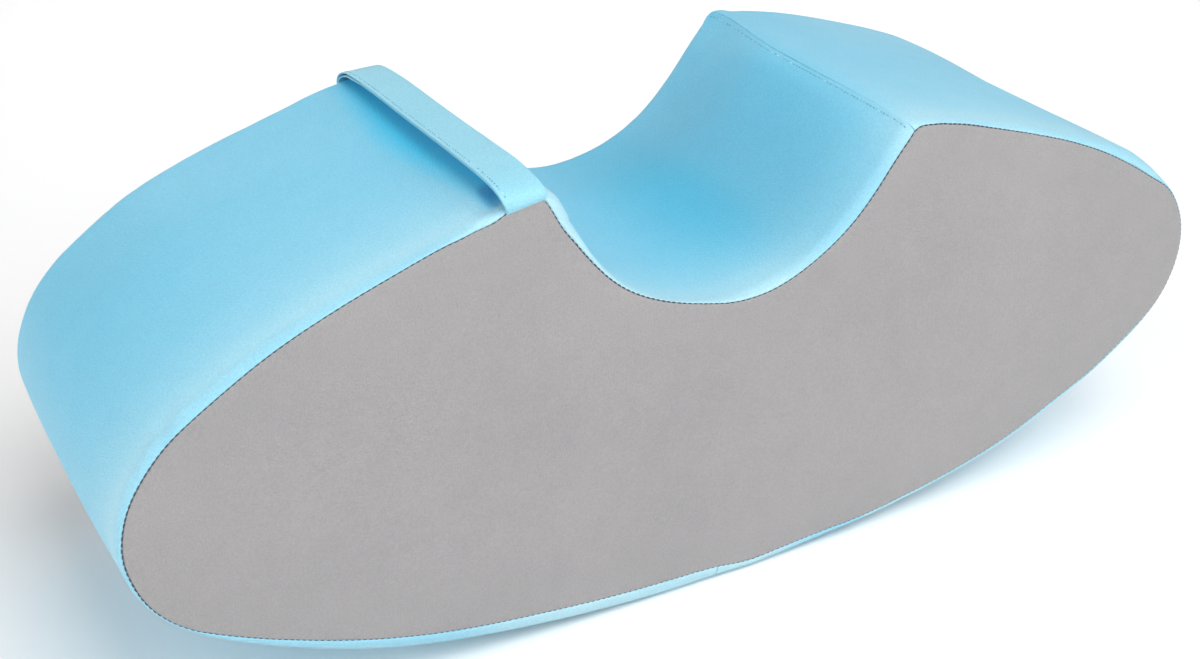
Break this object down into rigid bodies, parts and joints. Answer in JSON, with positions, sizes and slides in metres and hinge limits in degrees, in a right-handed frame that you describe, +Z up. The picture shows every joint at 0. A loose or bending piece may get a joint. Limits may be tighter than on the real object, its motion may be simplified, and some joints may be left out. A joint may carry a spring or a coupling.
{
  "type": "foam rocker",
  "caption": "Lens-shaped foam rocker with a saddle seat, in a sewn two-colour leatherette cover with a carrying strap and a zip low on the far side.",
  "frame": {"origin": "on the floor, under the middle of the rocker", "axes": "+X along the length towards the end without the strap, +Y from the near side to the side with the zip, +Z up"},
  "size_m": [0.7998, 0.2629, 0.3324],
  "materials": {
    "foam": "open-cell polyurethane foam, matt",
    "leatherette_grey": "satin, fine pebble grain",
    "leatherette_blue": "satin, fine pebble grain",
    "thread_dark": "twisted polyester thread",
    "thread_blue": "twisted polyester thread",
    "zip_tape": "woven polyester tape",
    "zip_coil": "satin nylon",
    "zip_metal": "nickel-plated, satin"
  },
  "bodies": {
    "padded_body": {"foam_core": "foam", "side_panel_near": "leatherette_grey", "side_panel_far": "leatherette_grey", "band_left": "leatherette_blue", "band_right": "leatherette_blue", "seat_panel": "leatherette_blue", "handle_strap": "leatherette_blue", "seam_thread_near": "thread_dark", "seam_thread_far": "thread_dark", "crest_thread_right": "thread_blue", "crest_thread_left": "thread_blue", "bottom_seam_thread": "thread_dark", "crest_topstitch_right": "thread_blue", "crest_topstitch_left": "thread_blue", "strap_topstitch": "thread_blue", "zip_tape_lower": "zip_tape", "zip_tape_upper": "zip_tape", "zip_coil_lower": "zip_coil", "zip_coil_upper": "zip_coil", "zip_stop_closed": "zip_metal", "zip_stop_open": "zip_metal", "zip_topstitch": "thread_dark"},
    "slider": {"zip_slider": "zip_metal"},
    "pull_tab": {"zip_pull_tab": "zip_metal"}
  },
  "joints": [
    {"name": "zip_travel", "type": "hinge", "parent": "padded_body", "child": "slider", "pos_m": [0, 0.128, 0.95953], "axis": [0, 1, 0], "range_deg": [0, 25.8]},
    {"name": "pull_tab_swing", "type": "hinge", "parent": "slider", "child": "pull_tab", "pos_m": [0.20896, 0.1302, 0.04715], "axis": [0.2233, 0, -0.9748], "range_deg": [0, 165]}
  ]
}
